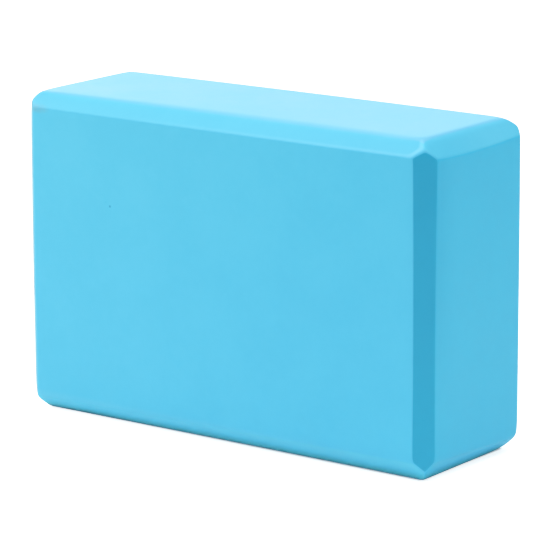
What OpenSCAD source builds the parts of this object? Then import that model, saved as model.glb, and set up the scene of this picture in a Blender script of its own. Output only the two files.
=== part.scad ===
// Foam block with bevelled edges.
//
// One closed-cell foam solid, standing on one of its long narrow faces.
// Its six faces are flat, a 45 degree bevel runs along all twelve edges,
// and at each of the eight corners three bevels meet in a mitre. Every
// ridge between face and bevel is rolled over to a small radius, and the
// short ridges between bevel and bevel are eased to the same radius.
//
// Frame: origin at the centre of the bottom face, +X along the length,
// +Y through the thickness (the front broad face looks towards -Y), +Z up.

/* [Block] */
// Length, along X
block_length = 230; // [180:1:300]
// Thickness between the two broad faces, along Y
block_thickness = 78; // [50:1:110]
// Height as it stands on its long narrow face, along Z
block_height = 151; // [110:1:200]

/* [Edges] */
// Leg of the 45 degree bevel along each edge, measured to the sharp corner
bevel = 7.4; // [4:0.1:14]
// Radius that each ridge of the bevel is rolled over to
ridge_radius = 2.2; // [0.6:0.1:2.6]

/* [Look] */
// Colour of the foam
foam_colour = "#61CBEE"; // [#61CBEE:Light blue, #8FD19E:Light green, #C9A7E8:Lilac, #4A4F57:Charcoal]

/* [Hidden] */

// Distances of the flat faces and of the bevels from the block's centre
face_x = block_length / 2;
face_y = block_thickness / 2;
face_z = block_height / 2;
bevel_xy = (face_x + face_y - bevel) / sqrt(2);
bevel_xz = (face_x + face_z - bevel) / sqrt(2);
bevel_yz = (face_y + face_z - bevel) / sqrt(2);

// Each rolled ridge's arc passes this much outside the two flats that it
// joins, so that it crosses them at a small angle
PROUD = 0.01;
// Longer than the block in any direction
REACH = 2 * (face_x + face_y + face_z);

// A side of an outline is [angle of its outward normal, distance from the
// origin]. This is where two sides cross, with both moved inwards by r.
function crossing(s, t, r = 0) =
    [
        (s[1] - r) * sin(t[0]) - (t[1] - r) * sin(s[0]),
        (t[1] - r) * cos(s[0]) - (s[1] - r) * cos(t[0])
    ] / sin(t[0] - s[0]);

// The sides as a polygon with sharp corners
module sharp_outline(sides) {
    n = len(sides);
    polygon([for (i = [0 : n - 1]) crossing(sides[i], sides[(i + 1) % n])]);
}

// The same with a disc in each corner, and its flats just outside the sides
module rolled_outline(sides) {
    n = len(sides);
    centres = [for (i = [0 : n - 1]) crossing(sides[i], sides[(i + 1) % n], ridge_radius)];
    polygon([
        for (i = [0 : n - 1], s = [sides[i], sides[(i + 1) % n]])
            centres[i] + (ridge_radius + PROUD / 2) * [cos(s[0]), sin(s[0])]
    ]);
    for (c = centres)
        translate(c) circle(r = ridge_radius + PROUD, $fn = 96);
}

// A bar along Z through the whole block. Its section is the rectangle of
// half sizes u and v with its corners bevelled at the distance uv and its
// ridges rolled over.
module bevelled_bar(u, v, uv) {
    sides = [for (i = [0 : 7]) [45 * i, [u, uv, v, uv][i % 4]]];
    linear_extrude(height = REACH, center = true)
        intersection() {
            sharp_outline(sides);
            rolled_outline(sides);
        }
}

// A bar along one of the block's four diagonals. It stays clear of the
// faces and bevels, and eases the six mitre ridges that run its way, each
// with a narrow flat that touches the ridge radius.
module mitre_bar(turn) {
    bevels = (turn % 2 == 0) ? [bevel_yz, bevel_xy, bevel_xz] : [bevel_xz, bevel_xy, bevel_yz];
    sides = [for (i = [0 : 5]) [30 + 60 * i, bevels[i % 3]]];
    rotate([0, acos(1 / sqrt(3)), 45 + 90 * turn])
        linear_extrude(height = REACH, center = true)
            sharp_outline([
                for (i = [0 : 5])
                    let (
                        a = 60 * (i + 1),
                        centre = crossing(sides[i], sides[(i + 1) % 6], ridge_radius)
                    )
                    [a, centre * [cos(a), sin(a)] + ridge_radius]
            ]);
}

// The whole block, resting on Z = 0
module foam_block() {
    color(foam_colour)
        translate([0, 0, face_z])
            intersection() {
                bevelled_bar(face_x, face_y, bevel_xy);
                rotate([90, 0, 0]) bevelled_bar(face_x, face_z, bevel_xz);
                rotate([90, 0, 90]) bevelled_bar(face_y, face_z, bevel_yz);
                intersection_for(turn = [0 : 3]) mitre_bar(turn);
            }
}

foam_block();
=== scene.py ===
import math

import bpy
import numpy as np
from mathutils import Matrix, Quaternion, Vector


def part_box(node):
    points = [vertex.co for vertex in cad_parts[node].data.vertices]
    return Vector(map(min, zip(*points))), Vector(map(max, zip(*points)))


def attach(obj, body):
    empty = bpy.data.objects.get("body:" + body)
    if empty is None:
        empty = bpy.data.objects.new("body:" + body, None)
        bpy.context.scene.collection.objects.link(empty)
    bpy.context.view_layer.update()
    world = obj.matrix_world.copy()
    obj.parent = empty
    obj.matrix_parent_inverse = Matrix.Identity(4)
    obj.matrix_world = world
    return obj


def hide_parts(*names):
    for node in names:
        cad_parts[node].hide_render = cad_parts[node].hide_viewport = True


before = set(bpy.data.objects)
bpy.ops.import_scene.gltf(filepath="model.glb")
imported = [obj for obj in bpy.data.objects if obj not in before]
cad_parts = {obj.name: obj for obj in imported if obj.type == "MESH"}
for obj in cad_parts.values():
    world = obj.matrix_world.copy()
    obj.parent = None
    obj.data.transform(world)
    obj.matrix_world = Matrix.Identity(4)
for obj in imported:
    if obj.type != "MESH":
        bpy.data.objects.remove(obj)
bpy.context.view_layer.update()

MM = 0.001

# --------------------------------------------------------------------------
# The block's form, in millimetres, measured from the middle of its box
# --------------------------------------------------------------------------
lo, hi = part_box("foam_block")
HX, HY, HZ = (hi.x - lo.x) / 2 / MM, (hi.y - lo.y) / 2 / MM, (hi.z - lo.z) / 2 / MM
CENTRE = (lo + hi) / 2

AXIS = {"x": 0, "y": 1, "z": 2}
HALF = (HX, HY, HZ)

# The six faces: how far each sits out of its plane, how it leans along the two
# other axes, and how much it falls away towards its rims along them.
FACE = {
    "+x": (0.55, (0.00, 0.08), (0.05, 0.15)),
    "-x": (0.72, (0.00, -0.26), (0.05, 0.42)),
    "-y": (0.00, (0.00, 0.00), (0.10, 0.06)),
    "+y": (0.00, (0.00, 0.00), (0.10, 0.06)),
    "+z": (0.44, (0.28, 0.46), (0.30, 0.03)),
    "-z": (0.00, (0.00, 0.00), (0.00, 0.00)),
}

# The twelve bevels: width on the first face and on the second, each as
# (at the middle, more towards the + end, more towards both ends).
BEVEL = {
    ("-y", "+z"): ((6.70, 0.15, -0.45), (7.94, 0.82, -1.84)),
    ("+x", "+z"): ((8.05, -0.30, -1.50), (7.50, -0.61, -0.03)),
    ("+x", "-y"): ((6.10, 0.43, 0.94), (7.70, 0.12, 0.32)),
    ("-y", "-z"): ((7.88, 1.84, 0.05), (6.66, 0.78, -0.87)),
    ("+x", "-z"): ((8.37, -1.62, 0.00), (7.60, 1.23, 0.00)),
    ("-x", "-y"): ((7.20, 0.00, 0.00), (7.20, 0.00, 0.00)),
    ("-x", "+z"): ((8.40, -1.40, 0.00), (7.10, 0.90, 0.00)),
    ("+y", "+z"): ((7.10, 0.20, 0.00), (7.74, 0.05, 0.00)),
    ("+x", "+y"): ((6.90, 0.00, 0.00), (7.20, 0.00, 0.00)),
    ("-x", "+y"): ((7.50, 0.00, 0.00), (7.50, 0.00, 0.00)),
    ("-x", "-z"): ((10.80, 0.00, 0.00), (9.80, 0.00, 0.00)),
    ("+y", "-z"): ((7.50, 0.00, 0.00), (7.20, 0.00, 0.00)),
}

# What two of them gain only close to the front's top right corner: mm at the
# very end, and the power by which it fades along the bevel.
AT_END = {
    (("+x", "+z"), "+x", -1): (-2.4, 8),
    (("+x", "-y"), "-y", 1): (2.0, 24),
}

# How far each ridge is rounded over, in mm. Keys: the bevel, then the face
# that the ridge lies on; or the three faces of a corner.
ROUND = 0.30
ROUND_AT = {
    (("-y", "+z"), "+z"): 1.03,
    (("-y", "+z"), "-y"): 0.05,
    (("+x", "+z"), "+z"): 1.17,
    (("+x", "+z"), "+x"): 0.19,
    (("+x", "-y"), "-y"): 0.05,
    (("+x", "-y"), "+x"): 0.17,
    (("-x", "+z"), "+z"): 0.22,
    (("-x", "+z"), "-x"): 0.40,
    (("+y", "+z"), "+z"): 0.40,
    (("+y", "+z"), "+y"): 0.40,
    (("-y", "-z"), "-y"): 0.36,
    (("+x", "-z"), "+x"): 0.22,
}
ROUND_CORNER = {
    ("+x", "+y", "+z"): 0.60, ("-x", "-y", "+z"): 0.60, ("-x", "+y", "+z"): 1.2,
    ("+x", "-y", "+z"): 0.64, ("-x", "-y", "-z"): 0.7, ("+x", "+y", "-z"): 2.0,
    ("+x", "-y", "-z"): 0.4, ("-x", "+y", "-z"): 1.2,
}
ROUND_REACH = 3.6     # mm from a ridge over which its own rounding holds
CORNER_REACH = 7.0    # the same around a corner


def faces(p):
    """Signed distance of points p to each of the six slightly full faces."""
    unit = np.clip(p / np.array(HALF), -1.0, 1.0)
    out = {}
    for name, (lift, lean, fall) in FACE.items():
        k = AXIS[name[1]]
        side = 1.0 if name[0] == "+" else -1.0
        a, b = [unit[:, i] for i in range(3) if i != k]
        rise = lift + lean[0] * a + lean[1] * b - fall[0] * a * a - fall[1] * b * b
        out[name] = side * p[:, k] - HALF[k] - rise
    return out


def widths(bevel, p):
    """The bevel's width on its two faces at each point."""
    along = 3 - AXIS[bevel[0][1]] - AXIS[bevel[1][1]]
    t = np.clip(p[:, along] / HALF[along], -1.0, 1.0)
    out = []
    for face, (c0, c1, c2) in zip(bevel, BEVEL[bevel]):
        wide = c0 + c1 * t + c2 * (t * t - 0.33)
        for side in (-1, 1):
            more, power = AT_END.get((bevel, face, side), (0.0, 1))
            wide = wide + more * np.clip(side * t, 0.0, 1.0) ** power
        out.append(wide)
    return out


def rounding(p, f):
    """How far the form is rounded over at each point, eased from ridge to ridge."""
    total = np.zeros(len(p))
    change = np.zeros(len(p))
    for bevel in BEVEL:
        wide = widths(bevel, p)
        for n in (0, 1):
            face, other = bevel[n], bevel[1 - n]
            amount = ROUND_AT.get((bevel, face), ROUND)
            w = np.exp(-(f[face] ** 2 + (f[other] + wide[n]) ** 2) / ROUND_REACH ** 2)
            total += w
            change += w * (amount - ROUND)
    base = ROUND + change / np.maximum(total, 1.0)
    for corner, amount in ROUND_CORNER.items():
        far = sum((f[face] + 2.4) ** 2 for face in corner)
        w = np.exp(-far / CORNER_REACH ** 2)
        base = base + w * (amount - base)
    return base


def soft_max(parts, soft):
    stack = np.stack(parts)
    top = stack.max(0)
    return top + soft * np.log(np.exp((stack - top) / soft).sum(0))


def block(p):
    """Below zero inside the block, above zero outside."""
    f = faces(p)
    parts = list(f.values())
    for bevel in BEVEL:
        wa, wb = widths(bevel, p)
        fa, fb = f[bevel[0]], f[bevel[1]]
        parts.append((fa / wb + fb / wa + 1.0) / np.sqrt(1 / wa ** 2 + 1 / wb ** 2))
    return soft_max(parts, rounding(p, f))


# --------------------------------------------------------------------------
# Mesh: a lattice of quads, fine across the bevels, wrapped onto the form
# --------------------------------------------------------------------------
KEEP = 9.5      # mm of each face's rim that belongs to the bevel strips
ACROSS = 15     # cells from a face to the middle of its bevel
CELL = 1.5      # mm between the lines on the flats


def lines(half, extra=()):
    core = half - KEEP
    n = int(round(2 * core / CELL))
    mid = list(np.linspace(-core, core, n + 1))
    for at, reach, step in extra:
        mid = [m for m in mid if abs(m - at) > reach + 0.6 * step]
        mid += list(at + np.arange(-round(reach / step), round(reach / step) + 1) * step)
    turn = np.radians(np.linspace(0, 45, ACROSS + 1)[1:])
    rim_highlight = core + KEEP * np.tan(turn)
    return np.array(sorted(list(-rim_highlight) + mid + list(rim_highlight)))


def lattice(xs, ys, zs):
    nx, ny, nz = len(xs), len(ys), len(zs)
    tag = np.full((nx, ny, nz), -1, np.int64)
    on = np.zeros((nx, ny, nz), bool)
    on[0] = on[-1] = True
    on[:, 0] = on[:, -1] = True
    on[:, :, 0] = on[:, :, -1] = True
    tag[on] = np.arange(on.sum())
    i, j, k = np.nonzero(on)
    pts = np.stack([xs[i], ys[j], zs[k]], 1)
    quads = []

    def add(t, flip):
        a, b, c, d = t[:-1, :-1], t[1:, :-1], t[1:, 1:], t[:-1, 1:]
        q = np.stack([a, b, c, d], -1).reshape(-1, 4)
        quads.append(q[:, ::-1] if flip else q)

    add(tag[-1], False); add(tag[0], True)            # +x, -x : (y, z)
    add(tag[:, -1], True); add(tag[:, 0], False)      # +y, -y : (x, z)
    add(tag[:, :, -1], False); add(tag[:, :, 0], True)  # +z, -z : (x, y)
    return pts, np.concatenate(quads)


def wrap(pts, form):
    """Moves lattice points along their own directions onto form's surface."""
    core = np.array([HX - KEEP, HY - KEEP, HZ - KEEP])
    start = np.clip(pts, -core, core)
    way = pts - start
    way /= np.linalg.norm(way, axis=1)[:, None]
    near, far = np.full(len(pts), KEEP * 0.5), np.full(len(pts), KEEP * 1.9)
    for _ in range(34):
        mid = (near + far) / 2
        inside = form(start + way * mid[:, None]) < 0
        near = np.where(inside, mid, near)
        far = np.where(inside, far, mid)
    return start + way * ((near + far) / 2)[:, None]


xs, ys, zs = lines(HX), lines(HY), lines(HZ)
pts, quads = lattice(xs, ys, zs)
skin = wrap(pts, block)
skin[:, 2] = np.maximum(skin[:, 2], -HZ)

mesh = bpy.data.meshes.new("foam_body")
co = skin * MM + np.array(CENTRE)
mesh.from_pydata(co.tolist(), [], quads.tolist())
mesh.update()
for poly in mesh.polygons:
    poly.use_smooth = True
foam = bpy.data.objects.new("foam_body", mesh)
bpy.context.scene.collection.objects.link(foam)
print("foam_body", len(mesh.vertices), "vertices", len(mesh.polygons), "quads")


# --------------------------------------------------------------------------
# Material
# --------------------------------------------------------------------------
def nodes_of(mat):
    mat.use_nodes = True
    nt = mat.node_tree
    nt.nodes.clear()
    return nt, nt.nodes, nt.links


FOAM_BLUE = (0.0706, 0.4657, 0.7500)

foam_mat = bpy.data.materials.new("closed_cell_foam")
nt, N, L = nodes_of(foam_mat)
out = N.new("ShaderNodeOutputMaterial")
bsdf = N.new("ShaderNodeBsdfPrincipled")
L.new(bsdf.outputs[0], out.inputs[0])
place = N.new("ShaderNodeTexCoord")
spot = place.outputs["Object"]      # metres in the shared frame
split = N.new("ShaderNodeSeparateXYZ")
L.new(spot, split.inputs[0])
PX, PY, PZ = split.outputs


def feed(value, socket):
    if isinstance(value, (int, float, tuple)):
        socket.default_value = value
    else:
        L.new(value, socket)


def calc(kind, *values):
    n = N.new("ShaderNodeMath")
    n.operation = kind
    for value, socket in zip(values, n.inputs):
        feed(value, socket)
    return n.outputs[0]


def ramp(value, start, end, low=0.0, high=1.0):
    """Eases from low to high as value goes from start to end."""
    n = N.new("ShaderNodeMapRange")
    n.interpolation_type = "SMOOTHSTEP"
    feed(value, n.inputs["Value"])
    for name, number in (("From Min", start), ("From Max", end), ("To Min", low), ("To Max", high)):
        n.inputs[name].default_value = number
    return n.outputs[0]


def grain(per_metre, detail=2.0, roughness=0.5, offset=(0, 0, 0), stretch=(1, 1, 1)):
    m = N.new("ShaderNodeMapping")
    L.new(spot, m.inputs["Vector"])
    m.inputs["Location"].default_value = offset
    m.inputs["Scale"].default_value = stretch
    n = N.new("ShaderNodeTexNoise")
    L.new(m.outputs[0], n.inputs["Vector"])
    n.inputs["Scale"].default_value = per_metre
    n.inputs["Detail"].default_value = detail
    n.inputs["Roughness"].default_value = roughness
    return n.outputs[0]


def tint(colour, mask, by):
    """Multiplies colour by `by` where mask is 1."""
    n = N.new("ShaderNodeMix")
    n.data_type = "RGBA"
    n.blend_type = "MULTIPLY"
    feed(mask, n.inputs["Factor"])
    feed(colour, n.inputs[6])
    n.inputs[7].default_value = (*by, 1)
    return n.outputs[2]


def blend(mask, low, high):
    n = N.new("ShaderNodeMix")
    n.data_type = "RGBA"
    feed(mask, n.inputs["Factor"])
    n.inputs[6].default_value = (*low, 1)
    n.inputs[7].default_value = (*high, 1)
    return n.outputs[2]


def turned(x, y, z, start=0.90, end=0.95):
    """1 where the skin faces (x, y, z), 0 where it has turned away."""
    way = Vector((x, y, z)).normalized()
    n = N.new("ShaderNodeVectorMath")
    n.operation = "DOT_PRODUCT"
    L.new(place.outputs["Normal"], n.inputs[0])
    n.inputs[1].default_value = way
    return ramp(n.outputs["Value"], start, end)


def beside(x, y, z, inner, outer, flat=(1, 1, 1)):
    """1 within `inner` mm of a place (mm), 0 beyond `outer` mm; flat stretches the axes."""
    m = N.new("ShaderNodeVectorMath")
    m.operation = "SUBTRACT"
    L.new(spot, m.inputs[0])
    m.inputs[1].default_value = (x * MM, y * MM, z * MM)
    k = N.new("ShaderNodeVectorMath")
    k.operation = "MULTIPLY"
    L.new(m.outputs[0], k.inputs[0])
    k.inputs[1].default_value = flat
    d = N.new("ShaderNodeVectorMath")
    d.operation = "LENGTH"
    L.new(k.outputs[0], d.inputs[0])
    return ramp(d.outputs["Value"], inner * MM, outer * MM, 1.0, 0.0)


# clouding in the sheet, then finer mottling, then the cells themselves
cloud = grain(34.0, 2.0, 0.45)
mottle = grain(210.0, 3.0, 0.55, offset=(3.1, 1.7, 0.4))
cells = grain(1350.0, 2.0, 0.6, offset=(0.3, 2.2, 5.1))
tone = calc("ADD", calc("MULTIPLY", cloud, 0.5), calc("ADD", calc("MULTIPLY", mottle, 0.3), calc("MULTIPLY", cells, 0.2)))
colour = blend(ramp(tone, 0.36, 0.64),
               tuple(c * k for c, k in zip(FOAM_BLUE, (0.95, 0.985, 0.99))),
               tuple(c * k for c, k in zip(FOAM_BLUE, (1.05, 1.015, 1.01))))

# each side and bevel is tinted by the way it faces: painted light and shade, lighter or darker sides standing
# in for how the light falls on them
FACING_LIGHT_AND_SHADE = [
    ((1, -1, 0), (0.361, 0.812, 0.817)), ((1, 0, 0), (0.670, 1.0, 1.0)), ((0, 0, 1), (1.290, 0.912, 1.0)),
    ((0, -1, 0), (0.965, 0.992, 0.994)), ((-1, 0, 0), (1.150, 0.880, 0.880)),
    ((0, -1, 1), (1.021, 0.972, 1.0)), ((1, 0, 1), (1.075, 1.022, 1.008)), ((1, 0, -1), (0.515, 0.930, 0.910)),
    ((0, -1, -1), (0.925, 0.995, 0.945)), ((-1, -1, 0), (1.114, 0.800, 0.760)),
    ((-1, 0, 1), (1.150, 0.850, 0.880)),
]
for way, by in FACING_LIGHT_AND_SHADE:
    colour = tint(colour, turned(*way), by)


def inside(x, y, z, reach):
    """How far (mm) a point lies within the plane x, y, z at `reach` mm from the middle of the floor plan."""
    n = N.new("ShaderNodeVectorMath")
    n.operation = "DOT_PRODUCT"
    L.new(spot, n.inputs[0])
    n.inputs[1].default_value = (-x / MM, -y / MM, -z / MM)
    return calc("ADD", n.outputs["Value"], reach)


# a paler rim runs along the lower edge of the front's top bevel and turns up
# round its right end: a painted highlight where the rounded edges catch the light
from_crease = inside(0, -1.41, 0, 55.4)
from_hip = inside(0.816, 0, 0.816, 210.85)
from_corner = inside(0.816, -0.816, 0, 118.4)
near_rim = N.new("ShaderNodeMath")
near_rim.operation = "SMOOTH_MIN"
feed(from_crease, near_rim.inputs[0])
feed(from_hip, near_rim.inputs[1])
near_rim.inputs[2].default_value = 3.0
near_rim2 = N.new("ShaderNodeMath")
near_rim2.operation = "SMOOTH_MIN"
feed(near_rim.outputs[0], near_rim2.inputs[0])
feed(from_corner, near_rim2.inputs[1])
near_rim2.inputs[2].default_value = 2.5
rim_highlight = calc("MULTIPLY", ramp(near_rim2.outputs[0], -0.7, 1.0), ramp(near_rim2.outputs[0], 1.4, 2.8, 1.0, 0.0))
along = calc("ADD", ramp(PX, -0.070, 0.020, 0.0, 0.18), calc("ADD", ramp(PX, 0.020, 0.085, 0.0, 0.10), ramp(PX, 0.102, 0.1100, 0.0, 0.42)))
rim_highlight = calc("MULTIPLY", calc("MULTIPLY", rim_highlight, along), turned(0, -1, 1, 0.72, 0.90))
# painted highlight along the rim
colour = tint(colour, rim_highlight, (2.30, 1.30, 1.25))

# the front is a little greyer just above its bottom bevel, and the lowest edge,
# where the block stands, is darker: painted contact shadow
low_band = calc("MULTIPLY", calc("MULTIPLY", ramp(PZ, 0.0030, 0.0062), ramp(PZ, 0.0078, 0.0104, 1.0, 0.0)), turned(0, -1, -0.45, 0.80, 0.90))
colour = tint(colour, low_band, (1.16, 1.015, 0.995))
# painted contact shadow: the skin darkens towards the floor, more at the left end
colour = tint(colour, ramp(PZ, 0.0050, 0.0, 0.0, 1.0), (1.0, 0.99, 0.76))
colour = tint(colour, ramp(PZ, 0.0020, 0.0002, 0.0, 1.0), (0.92, 0.76, 0.88))
colour = tint(colour, calc("MULTIPLY", ramp(PZ, 0.0030, 0.0005, 0.0, 1.0), ramp(PX, -0.030, -0.085)), (0.85, 0.80, 0.82))

# painted light and shade, slow gradients for how the light falls: the front lighter to its left and top, the
# top and its front bevel lighter to the right, the end face darker towards the deeper blue corner bevel, that
# bevel less red low down, the right top bevel lighter to the back
on_front = turned(0, -1, 0)
colour = tint(colour, calc("MULTIPLY", on_front, ramp(PX, 0.100, -0.110)), (1.180, 1.035, 1.004))
colour = tint(colour, calc("MULTIPLY", on_front, ramp(PZ, 0.060, 0.142)), (1.05, 1.028, 1.006))
colour = tint(colour, calc("MULTIPLY", turned(0, 0, 1), ramp(PX, -0.080, 0.110)), (1.250, 1.045, 0.995))
colour = tint(colour, calc("MULTIPLY", turned(0, -1, 1), ramp(PX, -0.090, 0.100)), (1.140, 1.0, 1.0))
colour = tint(colour, calc("MULTIPLY", calc("MULTIPLY", turned(1, 0, 0), ramp(PY, -0.014, -0.034)), ramp(PZ, 0.020, 0.095, 0.3, 1.0)), (0.80, 0.935, 0.940))
colour = tint(colour, calc("MULTIPLY", turned(1, -1, 0), ramp(PZ, 0.070, 0.015)), (0.88, 1.0, 1.0))
colour = tint(colour, calc("MULTIPLY", turned(1, 0, 1), ramp(PY, -0.028, 0.010)), (1.12, 1.01, 1.0))

# marks: a dark pit on the front, a grey smudge at the left end of the front's
# top crease, a faint lilac-grey line by the front right corner of the top
pit = beside(-61.8, -39.0, 102.5, 0.30, 0.85)
colour = tint(colour, pit, (0.36, 0.62, 0.72))
pit2 = beside(-64.2, -39.0, 104.2, 0.2, 0.8)
colour = tint(colour, calc("MULTIPLY", pit2, 0.4), (0.6, 0.86, 0.9))
smudge = calc("MULTIPLY", beside(-105.0, -38.0, 143.4, 1.5, 6.5, flat=(0.75, 0.6, 2.4)),
              ramp(grain(420.0, 2.0, 0.6, offset=(7.0, 0.2, 1.3)), 0.3, 0.6, 0.6, 1.0))
colour = tint(colour, smudge, (1.42, 0.86, 0.80))
# painted shade: a faint darker spot on the top where a tiny dent sits
dent_shade = beside(17.1, -8.8, 151.2, 0.2, 1.3, flat=(0.7, 0.7, 0.7))
colour = tint(colour, dent_shade, (0.93, 0.93, 0.95))
edge_line = beside(100.5, -31.9, 151.0, 0.5, 7.5, flat=(1.0, 6.5, 4.0))
colour = tint(colour, edge_line, (0.98, 0.95, 0.955))
L.new(colour, bsdf.inputs["Base Color"])
bsdf.inputs["IOR"].default_value = 1.31

# the skin's gloss wavers a little with the same clouding
L.new(ramp(calc("ADD", calc("MULTIPLY", cloud, 0.6), calc("MULTIPLY", mottle, 0.4)), 0.3, 0.7, 0.42, 0.48),
      bsdf.inputs["Roughness"])

# relief: closed cells, and a slow waviness of the sheet
fine = N.new("ShaderNodeBump")
fine.inputs["Strength"].default_value = 0.35
fine.inputs["Distance"].default_value = 0.00004
L.new(cells, fine.inputs["Height"])
slow = N.new("ShaderNodeBump")
slow.inputs["Strength"].default_value = 0.5
slow.inputs["Distance"].default_value = 0.00012
L.new(grain(95.0, 2.0, 0.5, offset=(1.0, 4.0, 2.0)), slow.inputs["Height"])
L.new(slow.outputs[0], fine.inputs["Normal"])
L.new(fine.outputs[0], bsdf.inputs["Normal"])
foam.data.materials.append(foam_mat)


# --------------------------------------------------------------------------
# Floor, light and camera
# --------------------------------------------------------------------------
floor_mesh = bpy.data.meshes.new("floor")
F = 40.0
floor_mesh.from_pydata([(-F, -F, 0), (F, -F, 0), (F, F, 0), (-F, F, 0)], [], [(0, 1, 2, 3)])
floor = bpy.data.objects.new("floor", floor_mesh)
floor.location.z = -0.00005
bpy.context.scene.collection.objects.link(floor)
floor_mat = bpy.data.materials.new("pale_floor")
nt, N, L = nodes_of(floor_mat)
out = N.new("ShaderNodeOutputMaterial")
near = N.new("ShaderNodeBsdfPrincipled")
near.inputs["Base Color"].default_value = (0.93, 0.93, 0.93, 1)
near.inputs["Roughness"].default_value = 1.0
near.inputs["Specular IOR Level"].default_value = 0.0
near.inputs["Emission Color"].default_value = (1, 1, 1, 1)
far = N.new("ShaderNodeEmission")
far.inputs[0].default_value = (1, 1, 1, 1)
where = N.new("ShaderNodeTexCoord")
dist = N.new("ShaderNodeVectorMath"); dist.operation = "LENGTH"
fade = N.new("ShaderNodeMapRange"); fade.interpolation_type = "SMOOTHSTEP"
fade.inputs["From Min"].default_value = 1.6
fade.inputs["From Max"].default_value = 4.0
rings = []
for start, end, strength in ((0.14, 0.16, -0.009), (0.28, 0.32, 0.182)):
    ring = N.new("ShaderNodeMapRange"); ring.interpolation_type = "SMOOTHSTEP"
    ring.inputs["From Min"].default_value = start
    ring.inputs["From Max"].default_value = end
    ring.inputs["To Min"].default_value = strength
    ring.inputs["To Max"].default_value = 0.0
    L.new(dist.outputs["Value"], ring.inputs["Value"])
    rings.append(ring)
glow = N.new("ShaderNodeMath"); glow.operation = "ADD"
lift = N.new("ShaderNodeMath"); lift.operation = "MULTIPLY_ADD"
# the contact shadow is lightened too: how far a point is from where the block stands
plan = N.new("ShaderNodeVectorMath"); plan.operation = "ABSOLUTE"
out_x = N.new("ShaderNodeVectorMath"); out_x.operation = "SUBTRACT"
out_x.inputs[1].default_value = (HX * MM - 0.0082, HY * MM - 0.0069, 0)
out_y = N.new("ShaderNodeVectorMath"); out_y.operation = "MAXIMUM"
out_y.inputs[1].default_value = (0, 0, 0)
away = N.new("ShaderNodeVectorMath"); away.operation = "LENGTH"
clear = N.new("ShaderNodeMapRange"); clear.interpolation_type = "SMOOTHSTEP"
clear.inputs["From Min"].default_value = 0.002
clear.inputs["From Max"].default_value = 0.045
clear.inputs["To Min"].default_value = 0.72
clear.inputs["To Max"].default_value = 0.28
line = N.new("ShaderNodeMapRange"); line.interpolation_type = "SMOOTHSTEP"
line.inputs["From Min"].default_value = 0.0
line.inputs["From Max"].default_value = 0.0007
line.inputs["To Min"].default_value = 0.25
gain = N.new("ShaderNodeMath"); gain.operation = "MULTIPLY"
L.new(where.outputs["Object"], plan.inputs[0])
L.new(plan.outputs["Vector"], out_x.inputs[0])
L.new(out_x.outputs["Vector"], out_y.inputs[0])
L.new(out_y.outputs["Vector"], away.inputs[0])
L.new(away.outputs["Value"], clear.inputs["Value"])
L.new(away.outputs["Value"], line.inputs["Value"])
L.new(clear.outputs[0], gain.inputs[0])
L.new(line.outputs[0], gain.inputs[1])
L.new(gain.outputs[0], lift.inputs[1])
ray = N.new("ShaderNodeLightPath")
seen = N.new("ShaderNodeMath"); seen.operation = "MULTIPLY"
seen.inputs[1].default_value = 1.35
mix = N.new("ShaderNodeMixShader")
L.new(where.outputs["Object"], dist.inputs[0])
L.new(dist.outputs["Value"], fade.inputs["Value"])
L.new(rings[0].outputs[0], glow.inputs[0])
L.new(rings[1].outputs[0], glow.inputs[1])
L.new(ray.outputs["Is Camera Ray"], lift.inputs[0])
L.new(glow.outputs[0], lift.inputs[2])
L.new(lift.outputs[0], near.inputs["Emission Strength"])
L.new(ray.outputs["Is Camera Ray"], seen.inputs[0])
L.new(seen.outputs[0], far.inputs[1])
L.new(fade.outputs[0], mix.inputs[0])
L.new(near.outputs[0], mix.inputs[1])
L.new(far.outputs[0], mix.inputs[2])
L.new(mix.outputs[0], out.inputs[0])
floor_mesh.materials.append(floor_mat)

world = bpy.data.worlds.new("studio")
bpy.context.scene.world = world
world.use_nodes = True
wt = world.node_tree
bg = wt.nodes["Background"]
bg.inputs[0].default_value = (1, 1, 1, 1)
bg.inputs[1].default_value = 0.0
seen = wt.nodes.new("ShaderNodeBackground")
seen.inputs[0].default_value = (1, 1, 1, 1)
seen.inputs[1].default_value = 1.35
path = wt.nodes.new("ShaderNodeLightPath")
both = wt.nodes.new("ShaderNodeMixShader")
wt.links.new(path.outputs["Is Camera Ray"], both.inputs[0])
wt.links.new(bg.outputs[0], both.inputs[1])
wt.links.new(seen.outputs[0], both.inputs[2])
wt.links.new(both.outputs[0], wt.nodes["World Output"].inputs[0])

TARGET = Vector((0, 0, 0.075))


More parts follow.
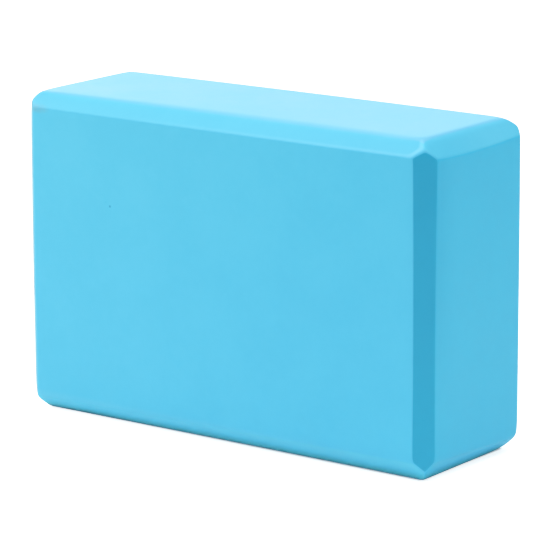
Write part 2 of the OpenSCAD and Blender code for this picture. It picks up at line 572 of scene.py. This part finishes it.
def softbox(name, azimuth, elevation, power, distance=2.2, width=1.3, height=1.3):
    """A square lamp that faces the block. Azimuth 0 is in front (-Y), 90 to the right (+X)."""
    a, e = math.radians(azimuth), math.radians(elevation)
    way = Vector((math.sin(a) * math.cos(e), -math.cos(a) * math.cos(e), math.sin(e)))
    lamp = bpy.data.lights.new(name, "AREA")
    lamp.shape = "RECTANGLE"
    lamp.size, lamp.size_y = width, height
    lamp.energy = power
    box = bpy.data.objects.new(name, lamp)
    box.location = TARGET + way * distance
    box.location.z = max(box.location.z, 0.05 + height / 2)
    box.rotation_mode = "QUATERNION"
    box.rotation_quaternion = way.to_track_quat("Z", "Y")
    box.visible_camera = False
    bpy.context.scene.collection.objects.link(box)
    return box


LAMPS = [
    ("low_left_front", -45, 12, 7.1), ("mid_left", -70, 30, 27.0), ("mid_left_front", -60, 30, 5.2),
    ("high_left", -75, 50, 9.8), ("high_left_front", -60, 50, 2.9), ("low_left_back", -150, 12, 10.2),
    ("side_left_back", -120, 30, 11.6), ("high_front_right", 45, 70, 27.9), ("high_right", 90, 70, 13.8),
    ("mid_right_back", 135, 50, 18.3), ("high_right_back", 135, 70, 2.9),
]
for lamp in LAMPS:
    softbox(*lamp)

cam = bpy.data.cameras.new("camera")
camera = bpy.data.objects.new("camera", cam)
bpy.context.scene.collection.objects.link(camera)
cam.sensor_fit = "HORIZONTAL"
cam.sensor_width = 36.0
cam.lens = 230.12
cam.clip_start, cam.clip_end = 0.05, 100.0
eye = Vector((0.95912, -1.2416, 0.42969))
aim = Vector((0.00272, 0.00097, 0.07151))
roll = math.radians(-0.30)
camera.location = eye
camera.rotation_mode = "QUATERNION"
camera.rotation_quaternion = (eye - aim).to_track_quat("Z", "Y") @ Quaternion((0, 0, 1), roll)
bpy.context.scene.camera = camera

scene = bpy.context.scene
scene.view_settings.view_transform = "Standard"
scene.view_settings.look = "None"
scene.view_settings.exposure = 0.0
scene.view_settings.gamma = 1.0
# a photographic shoulder: straight in the darks, easing off towards white
scene.view_settings.use_curve_mapping = True
curves = scene.view_settings.curve_mapping
TOP = 1.3
curves.white_level = (TOP, TOP, TOP)
shoulder = [(0.3, 0.3), (0.5, 0.5), (0.605, 0.6), (0.73, 0.7), (0.87, 0.8), (1.02, 0.9), (1.2, 0.97)]
combined = curves.curves[3]
for x, y in shoulder:
    combined.points.new(x / TOP, y)
for point in combined.points:
    point.handle_type = "VECTOR"
curves.update()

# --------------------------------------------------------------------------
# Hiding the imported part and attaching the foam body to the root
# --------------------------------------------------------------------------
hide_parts("foam_block")
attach(foam, "root")
